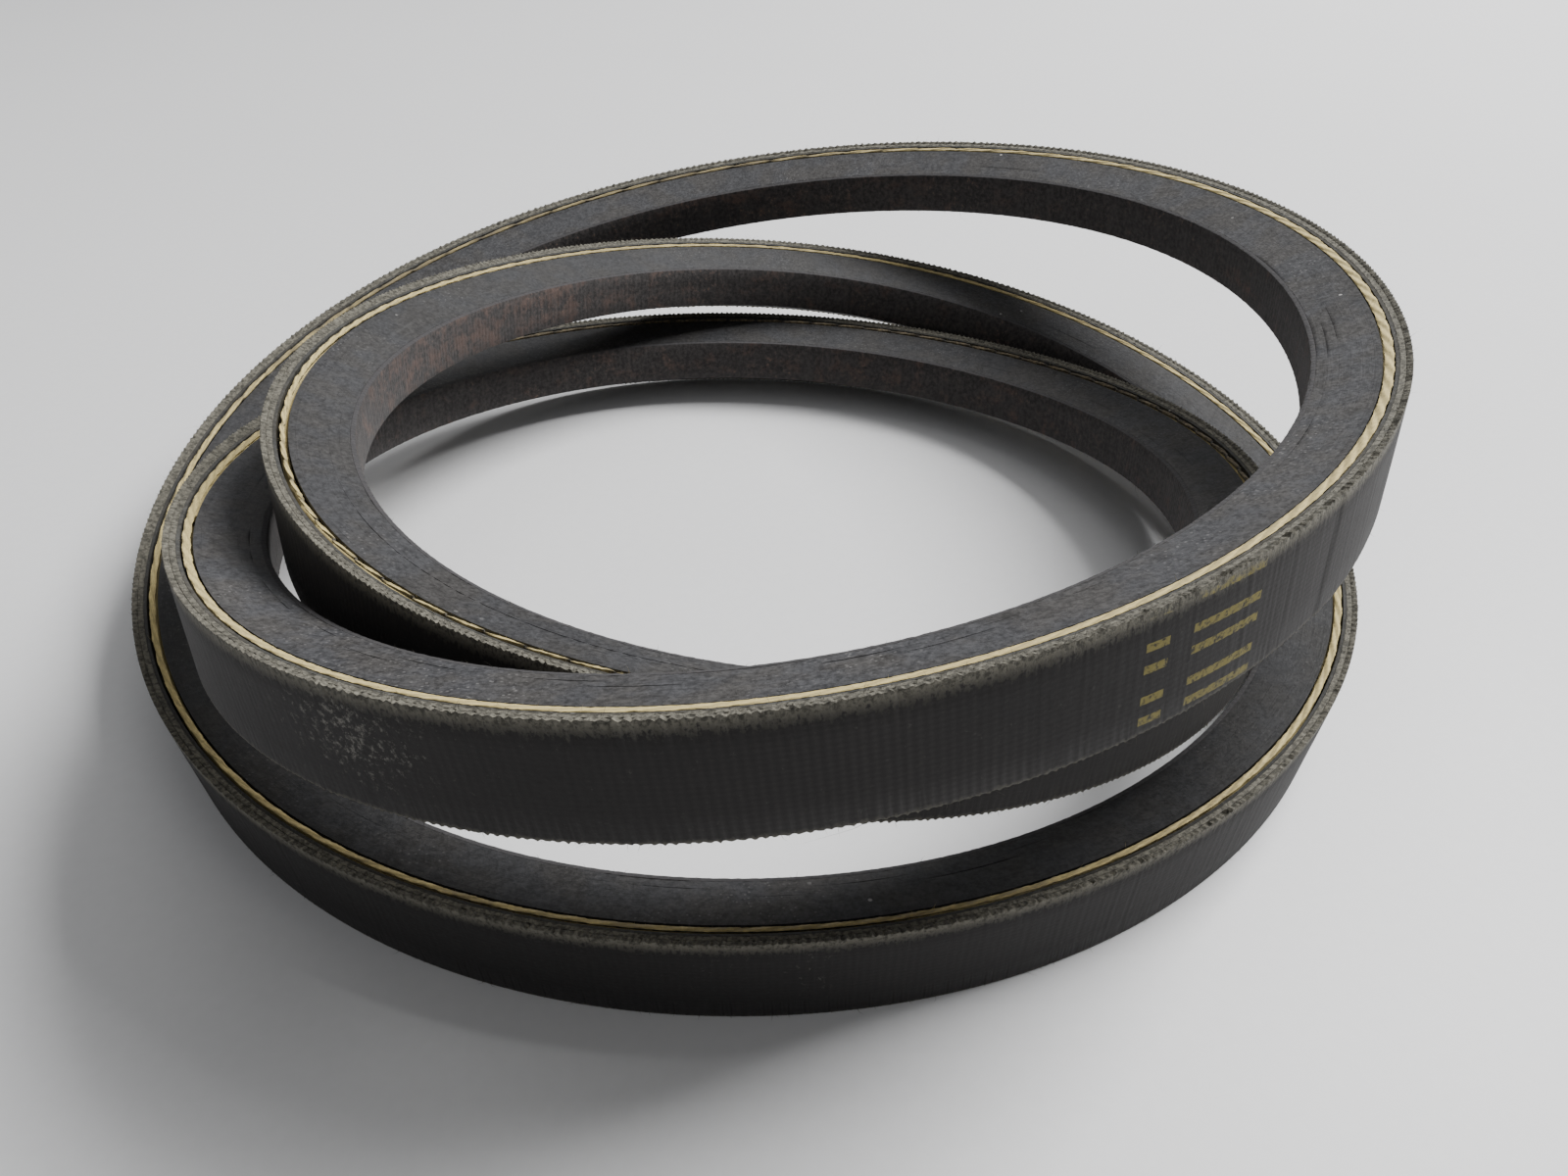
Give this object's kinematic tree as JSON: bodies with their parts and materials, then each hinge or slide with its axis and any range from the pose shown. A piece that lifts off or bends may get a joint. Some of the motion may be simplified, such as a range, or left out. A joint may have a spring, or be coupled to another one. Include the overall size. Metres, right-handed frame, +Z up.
{
  "type": "v belt",
  "caption": "Endless raw-edge V belt with fabric back, cut flanks and a wound tensile cord, stored as a loose coil lying on its side.",
  "frame": {"origin": "middle of the coil's footprint, on the surface it lies on", "axes": "+Z up along the coil's axis, +Y away from the viewer, +X to the viewer's right"},
  "size_m": [0.134, 0.134, 0.0398],
  "materials": {
    "back_fabric": "rubberised woven fabric, fine crosswise ribs",
    "adhesion_gum": "satin cut rubber",
    "tensile_cord": "twisted polyester cord, cut at the flanks",
    "compression_rubber": "satin, fibre-loaded, cut flanks",
    "inner_fabric": "rubberised woven fabric with rust stains"
  },
  "bodies": {
    "root": {"back_fabric_ply_1": "back_fabric", "back_fabric_ply_2": "back_fabric", "overcord_gum": "adhesion_gum", "tensile_cord": "tensile_cord", "undercord_gum": "adhesion_gum", "compression_ply_1": "compression_rubber", "compression_ply_2": "compression_rubber", "compression_ply_3": "compression_rubber", "compression_ply_4": "compression_rubber", "compression_ply_5": "compression_rubber", "inner_fabric_ply": "inner_fabric"}
  },
  "joints": []
}
